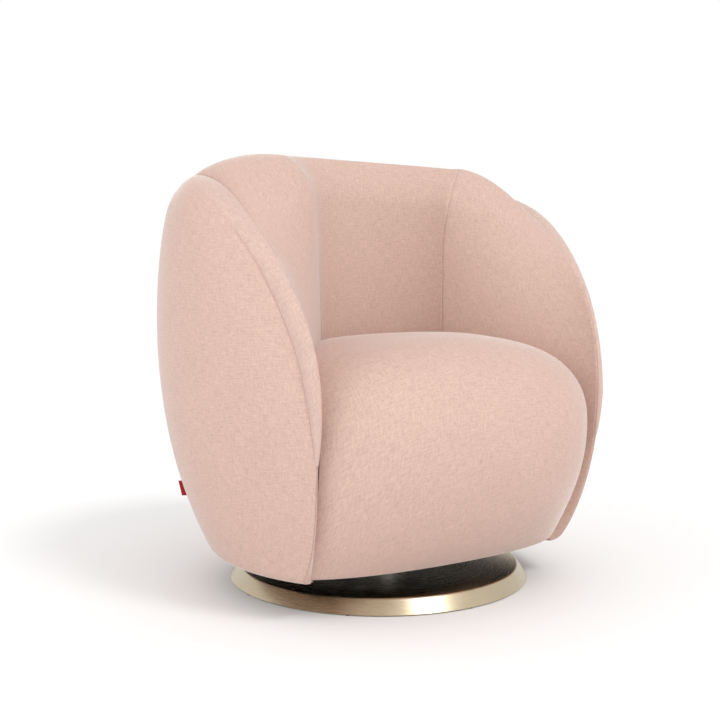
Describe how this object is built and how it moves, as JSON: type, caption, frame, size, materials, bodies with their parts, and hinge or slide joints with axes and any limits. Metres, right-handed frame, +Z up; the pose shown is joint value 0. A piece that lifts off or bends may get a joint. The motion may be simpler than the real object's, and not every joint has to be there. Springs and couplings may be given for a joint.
{
  "type": "swivel glider chair",
  "caption": "Upholstered barrel-shaped nursery glider: a rounded tub with sloping arms and a puffy seat hangs on swinging links over a swivel on a round weighted metal base.",
  "frame": {"origin": "on the floor, on the swivel axis at the centre of the round base, which is also the middle of the chair's footprint to within a few millimetres", "axes": "+Z up; -Y is the way the sitter faces; +X is the sitter's left hand side, the right arm as seen from the front"},
  "size_m": [0.7974, 0.76, 0.7769],
  "materials": {
    "base_metal": "satin champagne",
    "ballast": "rough",
    "felt": "matt",
    "steel": "black powder coat",
    "zinc": "zinc plated",
    "bearing_steel": "polished",
    "nylon": "plain",
    "bumper_rubber": "matt",
    "timber": "sawn plywood",
    "spring_steel": "drawn wire",
    "foam": "open cell foam",
    "upholstery": "slub linen weave, blush",
    "seat_upholstery": "slub linen weave, blush",
    "facing_upholstery": "slub linen weave, blush",
    "dust_cloth": "non-woven",
    "tag_cloth": "plain woven tape"
  },
  "bodies": {
    "base": {"base_disc": "base_metal", "ballast_plate": "ballast", "floor_pads": "felt", "swivel_post": "steel", "base_bolts": "zinc", "lower_race": "bearing_steel", "post_washer": "zinc", "post_nut": "zinc"},
    "swivel": {"bearing_balls": "bearing_steel", "ball_cage": "nylon", "upper_race": "bearing_steel", "swivel_plate": "steel", "hub_bush": "nylon", "hanger_left": "steel", "hanger_right": "steel", "hanger_bolts": "zinc", "upper_pivot_pins": "zinc", "stop_bumpers": "bumper_rubber"},
    "front_links": {"link_front_left": "steel", "link_front_right": "steel", "front_link_bushes": "nylon"},
    "rear_links": {"link_rear_left": "steel", "link_rear_right": "steel", "rear_link_bushes": "nylon"},
    "tub": {"rail_left": "steel", "rail_right": "steel", "front_cross_bar": "steel", "rear_cross_bar": "steel", "lower_pivot_pins": "zinc", "carriage_bolts": "zinc", "box_side_left": "timber", "box_side_right": "timber", "box_front": "timber", "box_rear": "timber", "bottom_frame": "timber", "seat_springs": "spring_steel", "spring_clips": "zinc", "seat_foam": "foam", "seat_front_foam": "foam", "seat_cover": "seat_upholstery", "back_ribs": "timber", "top_rail": "timber", "back_foam": "foam", "arm_foam_left": "foam", "arm_foam_right": "foam", "side_board_left": "timber", "side_board_right": "timber", "back_cover": "upholstery", "inner_arm_cover_left": "upholstery", "inner_arm_cover_right": "upholstery", "arm_facing_left": "facing_upholstery", "arm_facing_right": "facing_upholstery", "side_cover_left": "upholstery", "side_cover_right": "upholstery", "dust_cover": "dust_cloth", "side_tag": "tag_cloth"}
  },
  "joints": [
    {"name": "swivel", "type": "hinge", "parent": "base", "child": "swivel", "pos_m": [0, 0, 0], "axis": [0, 0, 1], "continuous": true},
    {"name": "glide", "type": "hinge", "parent": "swivel", "child": "front_links", "pos_m": [0, -0.08, 0.24], "axis": [1, 0, 0], "range_deg": [-25, 25]},
    {"name": "rear_swing", "type": "hinge", "parent": "swivel", "child": "rear_links", "pos_m": [0, 0.08, 0.24], "axis": [1, 0, 0], "range_deg": [-25, 25]},
    {"name": "tub_level", "type": "hinge", "parent": "front_links", "child": "tub", "pos_m": [0, -0.08, 0.125], "axis": [1, 0, 0], "range_deg": [-25, 25]}
  ],
  "couplings": [
    {"joint": "rear_swing", "follows": "glide", "ratio": 1},
    {"joint": "tub_level", "follows": "glide", "ratio": -1}
  ]
}
